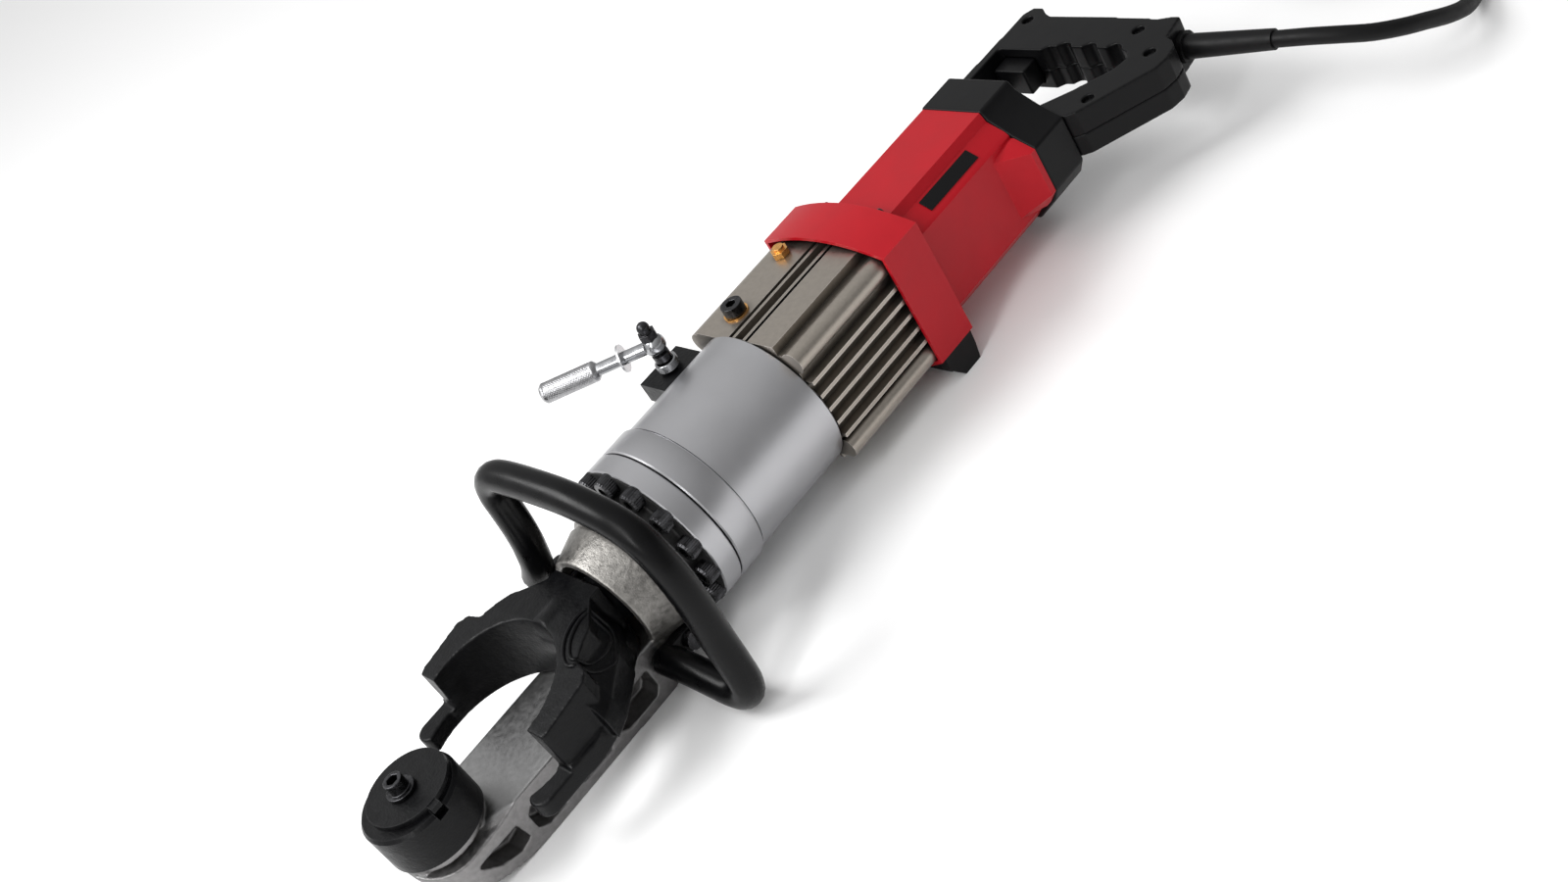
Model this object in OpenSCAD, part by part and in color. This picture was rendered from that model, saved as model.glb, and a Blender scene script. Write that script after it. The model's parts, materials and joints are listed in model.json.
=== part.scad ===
// Portable electro-hydraulic rebar bender: cast bending head, hydraulic cylinder, finned pump
// housing, motor and D-handle along one axis. Millimetres, +X towards the rear handle, +Z up
// along the bending roller. The origin is on the flat underside of the frame arm.

/* [Overall] */
// Height of the tool axis above the flat underside
axis_h = 56; // [52:1:70]
// Distance from the arm's underside centre to the cylinder's rear face
base_x = 203; // [190:1:230]

/* [Bending head] */
// Distance from the cylinder's rear face forward to the roller's axis
roller_x = 294; // [288:1:310]
// Radius of the forming sleeve on the roller
sleeve_r = 28.5; // [22:0.5:29]
// Height of the forming sleeve
sleeve_h = 26; // [18:1:30]
// Largest bar the bender takes
bar_d = 22; // [12:1:25]
// Stroke of the fork and piston
fork_stroke = 52; // [30:1:54]
// Thickness of the fork's arms behind the concave bending face
fork_arm_t = 9; // [6:1:12]
// Height of the fork's bending arms above the tool axis
fork_top = 20; // [14:1:24]
// Half the width of the frame arm
arm_half_w = 29; // [25:0.5:34]
// Depth of the arm's machined top face below the tool axis
plate_drop = 22.4; // [20:0.2:26]

/* [Cylinder] */
// Outer radius of the cylinder barrel
barrel_r = 48; // [44:1:60]
// Length of the barrel
barrel_len = 92.6; // [80:0.2:120]
// Bore radius of the barrel
bore_r = 32; // [28:0.5:36]
// Radius of the piston rod
rod_r = 18; // [14:0.5:20]
// Radial clearance of running fits
run_gap = 0.05; // [0.02:0.01:0.1]
// Number of flange screws
screw_count = 14; // [10:1:16]

/* [Bail handle] */
// Radius of the bail's tube
bail_r = 9; // [7:0.5:11]
// Roll of the bail about the tool axis, in degrees
bail_roll = 45.8; // [40:0.1:50]

/* [Pump and motor] */
// Length of the finned pump housing
pump_len = 100; // [95:1:120]
// Half the width of the pump housing over its fins
pump_half = 47; // [44:0.5:50]
// Length of the red motor shell behind the pump housing
motor_len = 100; // [98:1:130]
// Length of the end cap
cap_len = 29; // [26:1:40]
// Module of the reduction gears
gear_module = 0.8; // [0.6:0.1:1]
// Teeth on the motor pinion
pinion_teeth = 12; // [11:1:14]
// Teeth on the driven gear
gear_teeth = 36; // [34:1:38]

/* [Handle] */
// Height of the handle's top face above the tool axis
handle_top = 16; // [14:0.5:22]
// Depth of the handle's underside below the tool axis
handle_drop = 14; // [12:0.5:20]
// Travel of the trigger
trigger_travel = 5; // [3:0.5:6]

/* [Cord] */
// Diameter of the power cord
cord_d = 10; // [8:0.5:10]

/* [Hidden] */
$fn = 64;

// Along the axis, measured from the cylinder's rear face; forward is negative
barrel_front = -barrel_len;
step_x = -73;
step_r = barrel_r + 1.8;
flange_front = barrel_front - 15.4;
collar_front = -152.8;
collar_drop = 6;
neck_r = barrel_r - 11;
cavity_r = 30;
cavity_x = -140;
bush_x = -122;
spring_room_r = 27;
piston_rear = -8;
piston_len = 20;
rod_front = -156;
spigot_len = 6;
spigot_r = bore_r - 0.1;

// Bending head
arm_bottom = -axis_h;
arm_top = -plate_drop;
arm_flat_rear = -158;
arm_flat_front = -258;
nose_x = -roller_x - sleeve_r + 2;
pin_r = 12;
sleeve_bottom = arm_top + 6.4;
sleeve_top = sleeve_bottom + sleeve_h;
cap_r = sleeve_r - 4.5;
cap_top = sleeve_top + 3.8;
recess_r = sleeve_r + bar_d + 0.5;
recess_x = -240;
fork_tip_x = -238.6;
fork_half = recess_r + fork_arm_t - 0.5;
fork_bottom = arm_top + 0.5;
arm_low = -10;
finger_top = -12;
finger_x = -262;
fork_boss_r = 20;

// Release valve
stem_x = -22;
stem_y = 44;
block_top = 35.8;
lever_z = 54.4;
lever_angle = 135;
hub_r = 6.8;
lever_swing = 80;

// Pump, gears and motor
shaft_z = -gear_module * (gear_teeth + pinion_teeth) / 2;
shaft_r = 6;
eccentric_r = 10;
eccentric_x = 62;
eccentric_w = 14;
pump_bearing_r = 12;
chamber_x = 52;
chamber_r = 35;
gear_plate_x = pump_len - 16;
gear_x = pump_len - 7;
gear_w = 6;
shell_x = pump_len;
shell_end = shell_x + motor_len;
cap_end = shell_end + cap_len;
rotor_r = 4;
front_bearing_x = shell_x + 4;
rear_bearing_x = shell_end + 12;
bearing_w = 7;
motor_bearing_r = 11;
shell_bore = 35.5;
stator_bore = 23;
core_r = 22.4;
core_x = shell_x + 32;
core_len = 44;
fan_x = shell_x + 14;
commutator_x = shell_x + 82;
commutator_r = 13;

// Handle
grip_front = cap_end + 59;
grip_rear = cap_end + 92;
wall_in = 43;
wall_out = 51;
trigger_y0 = 16;
trigger_y1 = 41;
trigger_x = cap_end + 46;
guard_x = cap_end + 85;
guard_y = -76;
guard_end_x = cap_end + 94;
guard_end_y = -136;
guard_run = [guard_end_x - guard_x, guard_end_y - guard_y];
guard_len = norm(guard_run);
guard_turn = atan2(guard_run[1], guard_run[0]);

// Cord: the route of the stretch that isn't coiled, from the guard's end to the coil, then the
// tail from the coil to the plug. It drops to the surface the tool stands on.
floor_z = -axis_h;
cord_r = cord_d / 2;
CORD_ROUTE = [
    [323, -136, 0], [326, -156, 0], [332, -172, -3], [342, -185, -9], [356, -194, -16],
    [372, -198, -24], [389, -200, -33], [406, -199, -41], [423, -194, -47], [441, -186, -50],
    [459, -177, -51], [476, -167, -51], [492, -158, -51], [507, -149, -51], [522, -141, -51],
    [537, -132, -51]
];
TAIL_ROUTE = [
    [567, -80, -31], [567, -66, -32], [567, -52, -35], [567, -38, -39], [567, -24, -41], [567, -10, -41]
];
coil_x = 507;
coil_y = -80;
coil_in = 45;
coil_out = 65;
coil_h = 30;
plug_x = 567;
plug_y = -10;
plug_z = -41;

// Moves a piece from the tool's own axis to the frame's underside
module place() translate([base_x, 0, axis_h]) children();

// Solid and hollow rounds along X
module xrod(x0, x1, r, y = 0, z = 0) translate([x0, y, z]) rotate([0, 90, 0]) cylinder(h = x1 - x0, r = r);
module xring(x0, x1, ro, ri, y = 0, z = 0) difference() {
    xrod(x0, x1, ro, y, z);
    xrod(x0 - 1, x1 + 1, ri, y, z);
}
module xcone(x0, x1, r0, r1, z = 0)
    translate([x0, 0, z]) rotate([0, 90, 0]) rotate_extrude()
        polygon([[0, 0], [r0, 0], [r1, x1 - x0], [0, x1 - x0]]);
// Rounds along Z and Y
module zrod(x, y, z0, z1, r) translate([x, y, z0]) cylinder(h = z1 - z0, r = r);
module yrod(x, z, y0, y1, r) translate([x, y0, z]) rotate([-90, 0, 0]) cylinder(h = y1 - y0, r = r);
// A YZ outline drawn out along X
module along_x(x0, x1) translate([x0, 0, 0]) rotate([90, 0, 90]) linear_extrude(x1 - x0) children();
// An XY outline drawn up along Z
module upright(z0, z1) translate([0, 0, z0]) linear_extrude(z1 - z0) children();
module box(a, b) translate(a) cube(b - a);
// Half an outline and its mirror image as one list
function both_sides(p) = concat(p, [for (i = [len(p) - 1:-1:0]) [-p[i][0], p[i][1]]]);

// Smooth curve through hand-picked points, and a round tube swept along it
function at(p, i) = p[max(0, min(len(p) - 1, i))];
function knot(p, i, t) = let (a = at(p, i - 1), b = at(p, i), c = at(p, i + 1), d = at(p, i + 2))
    0.5 * (2 * b + (c - a) * t + (2 * a - 5 * b + 4 * c - d) * t * t + (3 * b - a - 3 * c + d) * t * t * t);
function curve(p, n) = concat(
    [for (i = [0:len(p) - 2], k = [0:n - 1]) knot(p, i, k / n)], [p[len(p) - 1]]);
function unit(v) = v / norm(v);
function heading(c, i) = unit(at(c, i + 1) - at(c, i - 1));
function side_of(d, up) = unit(cross(up, d));
module sweep(c, r, sides, up) {
    n = len(c);
    points = [for (i = [0:n - 1]) let (d = heading(c, i), u = side_of(d, up), v = cross(d, u))
        for (k = [0:sides - 1]) c[i] + r * (cos(360 * k / sides) * u + sin(360 * k / sides) * v)];
    walls = [for (i = [0:n - 2], k = [0:sides - 1]) let (m = (k + 1) % sides)
        [i * sides + k, (i + 1) * sides + k, (i + 1) * sides + m, i * sides + m]];
    first = [for (k = [0:sides - 1]) k];
    last = [for (k = [sides - 1:-1:0]) (n - 1) * sides + k];
    polyhedron(points, concat(walls, [first, last]), convexity = 10);
}

// ---------- bending head ----------

module arm_side() polygon(concat(
    [[-120, arm_top], [-120, -30], [-128, -42], [-140, -49], [arm_flat_rear, arm_bottom]],
    [for (a = [0:15:90]) [arm_flat_front + (nose_x - arm_flat_front) * sin(a),
                          arm_top - 1.6 + (arm_bottom - arm_top + 1.6) * cos(a)]],
    [[nose_x, arm_top]]));

module arm_plan() {
    polygon([[-100, arm_half_w], [-roller_x + 20, arm_half_w - 1], [-roller_x, arm_half_w - 1.5],
             [-roller_x, 1.5 - arm_half_w], [-roller_x + 20, 1 - arm_half_w], [-100, -arm_half_w]]);
    translate([-roller_x, 0]) circle(r = arm_half_w - 1.5);
}

// Weight-saving pockets cast into one side of the arm
module arm_pockets(side) {
    pocket_in = side * 14;
    pocket_out = side * (arm_half_w + 2);
    y0 = min(pocket_in, pocket_out);
    y1 = max(pocket_in, pocket_out);
    translate([0, y1, 0]) rotate([90, 0, 0]) linear_extrude(y1 - y0) {
        polygon([[-166, -33], [-166, -46], [-170, -50], [-192, -50], [-198, -46], [-198, -40], [-190, -33]]);
        polygon([[-206, -33], [-206, -50], [-228, -50], [-234, -46], [-234, -33]]);
        polygon([[-242, -33], [-242, -50], [-256, -50], [-262, -46], [-262, -36], [-258, -33]]);
        polygon([[-270, -34], [-268, -46], [-276, -48], [-288, -44], [-297, -36], [-297, -34]]);
    }
}

module frame() color("silver") place() difference() {
    union() {
        xrod(flange_front, barrel_front, step_r);
        xrod(-130, flange_front, neck_r);
        xcone(-134, -126, neck_r + 3, neck_r, -collar_drop);
        xcone(collar_front, -134, neck_r - 2.5, neck_r + 3, -collar_drop);
        intersection() {
            translate([0, 100, 0]) rotate([90, 0, 0]) linear_extrude(200) arm_side();
            upright(arm_bottom - 1, arm_top + 1) arm_plan();
        }
        // boss and pin under and through the forming sleeve
        zrod(-roller_x, 0, arm_top - 1, sleeve_bottom, sleeve_r - 4);
        zrod(-roller_x, 0, sleeve_bottom - 1, sleeve_top - 1, pin_r);
        // pad for the bail's upper lug
        yrod(ear_x, ear_z, 28, ear_y, ear_r);
    }
    arm_pockets(1);
    arm_pockets(-1);
    // seat and tapped holes for the bail's lugs
    yrod(ear_x, ear_z, ear_y, 60, ear_r + 0.2);
    yrod(ear_x, ear_z, 24, ear_y + 1, bail_screw_r + run_gap);
    box([bail_x - 10, -60, foot_ear_z - 7.5], [foot_ear_x + 8, -arm_half_w, foot_ear_z + 7.5]);
    yrod(foot_ear_x, foot_ear_z, -arm_half_w - 1, -10, bail_screw_r + run_gap);
    // bores for the return spring, the rod's bush and the fork's tail
    xrod(bush_x, barrel_front + 1, spring_room_r);
    xrod(cavity_x - 1, bush_x + 1, rod_r + 4);
    intersection() {
        xrod(collar_front - 1, cavity_x, cavity_r, 0, -collar_drop);
        box([collar_front - 2, -40, arm_top], [cavity_x + 1, 40, 60]);
    }
    for (i = [0:screw_count - 1]) rotate([90 + 360 * i / screw_count, 0, 0])
        xrod(flange_front - 1, barrel_front + 1, 4.1, screw_circle, 0);
    zrod(-roller_x, 0, -14, sleeve_top + 1, 4.1);
}
screw_circle = step_r - 6;

module forming_sleeve() color("#26272b") place() difference() {
    union() {
        zrod(-roller_x, 0, sleeve_bottom, sleeve_top - 2, sleeve_r);
        translate([-roller_x, 0, sleeve_top - 2]) rotate_extrude()
            polygon([[0, 0], [sleeve_r, 0], [sleeve_r - 1.5, 2], [0, 2]]);
    }
    zrod(-roller_x, 0, sleeve_bottom - 1, sleeve_top + 1, pin_r + run_gap);
    // notch for the cap's locating tab
    box([-roller_x - 1, -sleeve_r - 1, sleeve_top - 5], [-roller_x + 6, -sleeve_r + 5.2, sleeve_top + 1]);
}

module roller_cap() color("#303134") place() difference() {
    union() {
        zrod(-roller_x + 2.5, 0, sleeve_top, cap_top, cap_r);
        box([-roller_x - 0.5, -sleeve_r + 0.6, sleeve_top], [-roller_x + 5.5, -cap_r + 3, cap_top - 0.6]);
    }
    zrod(-roller_x, 0, sleeve_top - 1, cap_top + 1, 4.3);
}

module roller_screw() color("#222") place() difference() {
    union() {
        zrod(-roller_x, 0, -13, cap_top, 4);
        zrod(-roller_x, 0, cap_top, cap_top + 2.4, 8.2);
        zrod(-roller_x, 0, cap_top + 2.4, cap_top + 9.4, 5.4);
    }
    translate([-roller_x, 0, cap_top + 2]) cylinder(h = 9, r = 3.4, $fn = 6);
}

// The recess narrows above the bar: a lip keeps it from riding up
lip_z = 4;
lip_r = recess_r - 7;
lip_x = recess_x + 9;
module fork_plan(centre_x, r) difference() {
    polygon(both_sides_y([
        [fork_tip_x, fork_half - 2], [fork_tip_x + 4.5, fork_half], [-204, fork_half], [-198, fork_half - 5],
        [-196, fork_half - 14], [-188, 42], [-178, 37], [-170, 28], [-162, fork_boss_r], [-155, fork_boss_r]]));
    translate([centre_x, 0]) circle(r = r);
}
function both_sides_y(p) = concat(p, [for (i = [len(p) - 1:-1:0]) [p[i][0], -p[i][1]]]);

module fork_base_plan() difference() {
    union() {
        polygon(both_sides_y([
            [-236, fork_half + 2.5], [-222, fork_half + 3.5], [-208, fork_half], [-196, fork_half - 8],
            [-184, fork_half - 17], [-173, fork_half - 24], [-164, 29], [-158, 24], [-155, fork_boss_r]]));
        for (s = [-1, 1]) {
            translate([finger_x + 8, s * 54]) circle(r = 8);
            translate([finger_x + 8, s * 54 - 8]) square([26, 16]);
        }
    }
    translate([recess_x, 0]) circle(r = recess_r);
    translate([fork_tip_x - 60, -46]) square([60, 92]);
}

module bending_fork() color("#2b2c30") place() difference() {
    union() {
        upright(arm_low, lip_z) fork_plan(recess_x, recess_r);
        upright(lip_z, fork_top) fork_plan(lip_x, lip_r);
        upright(fork_bottom, arm_low) fork_base_plan();
        intersection() {
            xrod(-156, cavity_x - 3, fork_boss_r);
            box([-156, -30, fork_bottom], [0, 30, 30]);
        }
    }
    // the lower ledges stop short of the arms, and the tail takes the rod's end
    for (s = [-1, 1]) box([finger_x - 5, s * 54 - 15, finger_top], [fork_tip_x, s * 54 + 15, arm_low + 1]);
    xrod(rod_front, 0, 10 + run_gap);
    zrod(-150, 0, -30, 30, 4.2);
}

module fork_screw() color("#222") place() {
    zrod(-150, 0, -15, 14, 4.1);
}

// ---------- hydraulic cylinder ----------

module piston_rod() color("lightgray") place() difference() {
    union() {
        xrod(rod_front, cavity_x - 2.5, 10);
        xrod(cavity_x - 2.5, piston_rear - piston_len, rod_r);
        xrod(piston_rear - piston_len - 1, piston_rear, 12);
    }
    zrod(-150, 0, -30, 30, 4.2);
}

module piston() color("gray") place() difference() {
    xring(piston_rear - piston_len, piston_rear, bore_r - run_gap, 12 + run_gap);
    for (x = [piston_rear - 6, piston_rear - 14]) xring(x - 2, x + 2, bore_r + 1, bore_r - 3);
}

module piston_seals() color("#1a1a1a") place()
    for (x = [piston_rear - 6, piston_rear - 14]) xring(x - 1.9, x + 1.9, bore_r - 0.03, bore_r - 2.95);

module return_spring() color("#8a8d90") place() {
    x0 = bush_x + 0.5;
    x1 = piston_rear - piston_len - 0.5;
    turns = 8;
    wire = 1.7;
    coil_r = rod_r + 3.2;
    steps = turns * 20;
    sweep([for (i = [0:steps]) [x0 + wire + (x1 - x0 - 2 * wire) * i / steps,
        coil_r * cos(360 * turns * i / steps), coil_r * sin(360 * turns * i / steps)]], wire, 6, [1, 0, 0]);
}

module rod_bush() color("#b08d57") place() xring(cavity_x, bush_x, rod_r + 4, rod_r + run_gap);

module cylinder_barrel() color("#c9c9cb") place() difference() {
    union() {
        xrod(barrel_front, step_x, step_r);
        xrod(step_x, 0, barrel_r);
    }
    xrod(barrel_front - 1, 1, bore_r);
    for (i = [0:screw_count - 1]) rotate([90 + 360 * i / screw_count, 0, 0])
        xrod(barrel_front - 1, barrel_front + 14, 3.4, screw_circle, 0);
    // groove where the barrel meets the frame's flange
    xring(barrel_front - 1, barrel_front + 0.6, step_r + 1, step_r - 0.8);
}

module flange_screws() color("#3a3b3e") place()
    for (i = [0:screw_count - 1]) rotate([90 + 360 * i / screw_count, 0, 0]) difference() {
        union() {
            xrod(flange_front - 8, flange_front, 5.6, screw_circle, 0);
            xrod(flange_front, barrel_front + 12, 3.3, screw_circle, 0);
        }
        translate([flange_front - 9, screw_circle, 0]) rotate([0, 90, 0]) cylinder(h = 5, r = 3, $fn = 6);
    }

// ---------- bail handle, bent from one tube and rolled about the axis ----------

BAIL_ROUTE = [
    [38, -27], [39, -20], [41, -12], [45, -4], [50, 5], [58, 15], [67, 24], [74, 31], [77, 40], [74, 50], [66, 59], [56, 68],
    [44, 78], [32, 87], [18, 95], [4, 101], [-10, 103], [-24, 99], [-38, 91], [-52, 80], [-66, 67], [-80, 55],
    [-90, 45], [-93, 35], [-88, 26], [-78, 19], [-67, 12], [-57, 5], [-47, -3]
];
bail_x = -154;
bail_screw_r = 3.2;
ear_x = -147;
ear_y = 34.5;
ear_z = 2;
ear_r = 8.5;
foot_ear_x = -137;
foot_ear_z = -36;
module bail_handle() color("#1d1e20") place() difference() {
    union() {
        rotate([bail_roll, 0, 0])
            sweep(curve([for (p = BAIL_ROUTE) [bail_x + 0.1 * p[1], p[0], p[1]]], 3), bail_r, 16, [1, 0.001, 0]);
        // lug on the collar's side, and lug on the side of the arm
        yrod(ear_x, ear_z, ear_y, ear_y + 8, ear_r);
        box([bail_x - 8, -arm_half_w - 7, foot_ear_z - 7], [foot_ear_x, -arm_half_w, foot_ear_z + 7]);
        yrod(foot_ear_x, foot_ear_z, -arm_half_w - 7, -arm_half_w, 7);
    }
    yrod(ear_x, ear_z, ear_y - 1, ear_y + 30, bail_screw_r + run_gap);
    yrod(ear_x, ear_z, ear_y + 8, ear_y + 30, 6.3);
    yrod(foot_ear_x, foot_ear_z, -arm_half_w - 8, -arm_half_w + 1, bail_screw_r + run_gap);
}

module bail_screws() color("#222") place() {
    yrod(ear_x, ear_z, ear_y - 4.5, ear_y + 8, bail_screw_r);
    yrod(ear_x, ear_z, ear_y + 8, ear_y + 12, 6);
    yrod(foot_ear_x, foot_ear_z, -arm_half_w - 7, -11, bail_screw_r);
    yrod(foot_ear_x, foot_ear_z, -arm_half_w - 11, -arm_half_w - 7, 6);
}

// ---------- release valve and its lever ----------

module valve_block() color("#1c1c1e") place() difference() {
    box([-38, 20, 23], [-6, 56, block_top]);
    xrod(-80, 10, barrel_r + 0.02);
    zrod(stem_x, stem_y, 26, block_top + 1, 4.05);
}

module valve_stem() color("#5c5e62") place() {
    zrod(stem_x, stem_y, 27.5, lever_z - hub_r + 1, 4);
    zrod(stem_x, stem_y, lever_z - hub_r - 3.5, lever_z - hub_r + 0.5, 5.2);
}

module detent_spring() color("silver") place() {
    // closely wound: each turn touches the next
    turns = 4;
    z0 = block_top + 1;
    pitch = (lever_z - hub_r - 4.6 - z0) / turns;
    for (i = [0:turns - 1]) translate([stem_x, stem_y, z0 + pitch * (i + 0.5)])
        rotate_extrude() translate([6.3, 0]) circle(r = pitch * 0.56, $fn = 24);
}

module lever_hub() color("silver") place() difference() {
    translate([stem_x, stem_y, lever_z]) sphere(r = hub_r);
    zrod(stem_x, stem_y, lever_z - 10, lever_z - hub_r + 1, 4.02);
    zrod(stem_x, stem_y, lever_z + hub_r - 1.6, lever_z + 10, 7);
    on_lever() xrod(hub_r - 2, 36, 3.8);
}

module on_lever() translate([stem_x, stem_y, lever_z]) rotate([0, 0, lever_angle]) children();
module lever_rod() color("silver") place() on_lever() xrod(hub_r - 2, 36, 3.8);
module lever_ring() color("#777a80") place() on_lever() xring(19.4, 20.6, 8.4, 3.82);
module lever_grip() color("#d0d2d5") place() on_lever() {
    xcone(36, 38, 4, 6.2);
    xrod(38, 71, 6.2);
    xcone(71, 72.5, 6.2, 5);
}

module acorn_nut() color("#4a4b4f") place() translate([stem_x, stem_y, lever_z + hub_r - 1.6]) {
    cylinder(h = 4.5, r = 5.6, $fn = 6);
    translate([0, 0, 4.5]) cylinder(h = 2.5, r = 3.6);
    translate([0, 0, 7.5]) sphere(r = 3.8);
}

// ---------- pump housing ----------

side_fins = [21, 11, 1, -9, -19];
top_z = pump_half - 2;
module pump_section() {
    translate([-40, 7.5 - top_z]) square([80, 2 * top_z - 13.5]);
    // corner bars
    for (s = [-1, 1]) {
        translate([s * (pump_half - 7.5), top_z - 10.5]) circle(r = 7);
        translate([s * (pump_half - 7.5), 14.5 - top_z]) circle(r = 7);
    }
    for (z = side_fins) translate([-pump_half, z - 1.2]) square([2 * pump_half, 2.4]);
    // bar, thin fins and the plugs' land on the top, fins on the underside
    translate([-30, 0]) square([21.5, top_z]);
    for (y = [-5, 4]) translate([y - 1.1, 0]) square([2.2, top_z]);
    translate([11, 0]) square([27, top_z - 2]);
    for (y = [-30:12:30]) translate([y - 1.2, 4.5 - top_z]) square([2.4, 20]);
}

module pump_housing() color("#9b9186") place() difference() {
    union() {
        along_x(0.1, pump_len) pump_section();
        xrod(-spigot_len, 1, spigot_r);
        // lugs for the skirt's upper screws
        for (s = [-1, 1]) box([pump_len - 10, s * 22 - 4, 30], [pump_len, s * 22 + 4, top_z + 0.6]);
    }
    // oil space behind the piston, eccentric chamber and gear chamber
    xrod(10, 40, 30);
    xrod(chamber_x, pump_len + 1, chamber_r);
    xrod(39, chamber_x + 1, pump_bearing_r + 0.02, 0, shaft_z);
    xrod(-spigot_len - 1, 11, 3);
    zrod(20, 21, 18, 60, 5.1);
    zrod(68, 27, 29, 60, 3.1);
    for (p = skirt_screw_at) xrod(pump_len - 6, pump_len + 1, 1.6, p[0], p[1]);
    for (s = [-1, 1]) yrod(eccentric_x + eccentric_w / 2, shaft_z, s > 0 ? 20 : -36.2, s > 0 ? 36.2 : -20, 7.05);
}

module oil_plug() color("#18181a") place() difference() {
    union() {
        zrod(20, 21, 30, top_z - 1, 5);
        zrod(20, 21, top_z - 1, top_z + 5.5, 6.6);
    }
    translate([20, 21, top_z + 1.5]) cylinder(h = 6, r = 3.2, $fn = 6);
}
module oil_plug_washer() color("#c08a3a") place() translate([20, 21, top_z - 2]) difference() {
    cylinder(h = 1, r = 7.6);
    translate([0, 0, -1]) cylinder(h = 3, r = 5.03);
}
module bleed_plug() color("#c4822c") place() {
    zrod(68, 27, 31, top_z - 2, 3);
    translate([68, 27, top_z - 2]) cylinder(h = 4, r = 5.6, $fn = 6);
    zrod(68, 27, top_z + 2, top_z + 4, 3.4);
}

module pump_shaft() color("#a8abae") place() {
    xrod(chamber_x - 11, gear_x + gear_w, shaft_r, 0, shaft_z);
    translate([0, 0, 1.5]) xrod(eccentric_x, eccentric_x + eccentric_w, eccentric_r, 0, shaft_z);
}
module pump_bearings() color("#c5c7ca") place() {
    xring(chamber_x - 11, chamber_x - 3, pump_bearing_r, shaft_r + run_gap, 0, shaft_z);
    xring(gear_plate_x, gear_plate_x + 6, pump_bearing_r, shaft_r + run_gap, 0, shaft_z);
}
module pump_plungers() color("#b9bcc0") place() for (s = [-1, 1])
    yrod(eccentric_x + eccentric_w / 2, shaft_z, s > 0 ? 12 : -30, s > 0 ? 30 : -12, 4);
module plunger_barrels() color("#7c7f83") place() for (s = [-1, 1]) difference() {
    yrod(eccentric_x + eccentric_w / 2, shaft_z, s > 0 ? 16 : -36, s > 0 ? 36 : -16, 7);
    yrod(eccentric_x + eccentric_w / 2, shaft_z, s > 0 ? 15 : -33, s > 0 ? 33 : -15, 4.05);
}

// Trapezoid teeth with backlash, one polygon a gear
function tooth_ring(n, m, turn) = [for (i = [0:n - 1], k = [0:3]) let (
    r = (k == 0 || k == 3) ? m * (n / 2 - 1.25) : m * (n / 2 + 0.9),
    a = 360 * i / n + turn + (360 / n) * [-0.34, -0.11, 0.11, 0.34][k]) [r * cos(a), r * sin(a)]];
module drive_gear() color("#9a9da1") place() difference() {
    translate([0, 0, shaft_z]) along_x(gear_x, gear_x + gear_w)
        polygon(tooth_ring(gear_teeth, gear_module, 90 - 180 / gear_teeth));
    xrod(gear_x - 1, gear_x + gear_w + 1, shaft_r, 0, shaft_z);
}
module gear_plate() color("#8d9094") place() difference() {
    xrod(gear_plate_x, gear_plate_x + 6, chamber_r - 0.1);
    xrod(gear_plate_x - 1, gear_plate_x + 7, pump_bearing_r, 0, shaft_z);
}

// ---------- motor ----------

skirt_x = 76;
skirt_end = pump_len + 6;
function crown(half, corner, top, n) = [for (i = [0:n]) let (y = -half + 2 * half * i / n)
    [y, corner + (top - corner) * (1 - pow(y / half, 2))]];
module skirt_outline(inset) {
    half = 50.5 - inset;
    top = crown(half, 43 - inset * 0.7, 51 - inset, 12);
    low = crown(half - 1.5, 37 - inset * 0.7, 48 - inset, 8);
    polygon(concat(top, [for (i = [len(low) - 1:-1:0]) [low[i][0], -low[i][1]]]));
}
module skirt() color("#b81420") place() difference() {
    along_x(skirt_x, skirt_end) skirt_outline(0);
    along_x(skirt_x - 1, skirt_end - 2.5) skirt_outline(2.2);
    along_x(skirt_end - 3, skirt_end + 1) offset_body(0.3);
    for (p = skirt_screw_at) xrod(skirt_end - 4, skirt_end + 1, 1.65, p[0], p[1]);
    foot_holes(2.55);
}
skirt_screw_at = [[-41, 36], [41, 36], [-22, 44.6], [22, 44.6], [-41, -31], [41, -31]];
module skirt_screws() color("#202022") place() for (p = skirt_screw_at) {
    xrod(skirt_end, skirt_end + 2.6, 3.1, p[0], p[1]);
    xrod(pump_len - 6, skirt_end, 1.58, p[0], p[1]);
}

body_half = [[23, 40.5], [25.5, 34], [36, 27.5], [38, 25], [38, -28], [28, -38]];
cap_half = [[24, 41.5], [27, 35], [41, 24], [54, 16.5], [54.5, -15], [49, -24], [30, -39.5]];
module mirrored(half) polygon(both_sides(half));
module body_section() mirrored(body_half);
module offset_body(g) mirrored([for (p = body_half) [p[0] + g, p[1] + (p[1] > 0 ? g : -g)]]);
module motor_shell() color("#c2161f") place() difference() {
    union() {
        xrod(shell_x, shell_x + 3, 38);
        along_x(shell_x + 3, shell_end) body_section();
        // the shell flares to the end cap's shoulders
        hull() {
            along_x(shell_end - 20, shell_end - 19) mirrored([[37, 20], [37, -22]]);
            along_x(shell_end - 4, shell_end) mirrored([[41, 23], [53.5, 16], [54, -15], [46, -24]]);
        }
    }
    xrod(shell_x + 12, shell_end + 1, shell_bore);
    xrod(shell_x - 1, shell_x + 13, motor_bearing_r + 0.01);
    xrod(shell_x - 1, shell_x + 3, 30);
}

module label_plate() color("#161616") place() {
    a = body_half[1];
    b = body_half[2];
    translate([0, -(a[0] + b[0]) / 2, (a[1] + b[1]) / 2]) rotate([atan2(a[1] - b[1], b[0] - a[0]), 0, 0])
        box([shell_x + 30, -4.6, 0], [shell_x + 76, 4.6, 0.8]);
}

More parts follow.
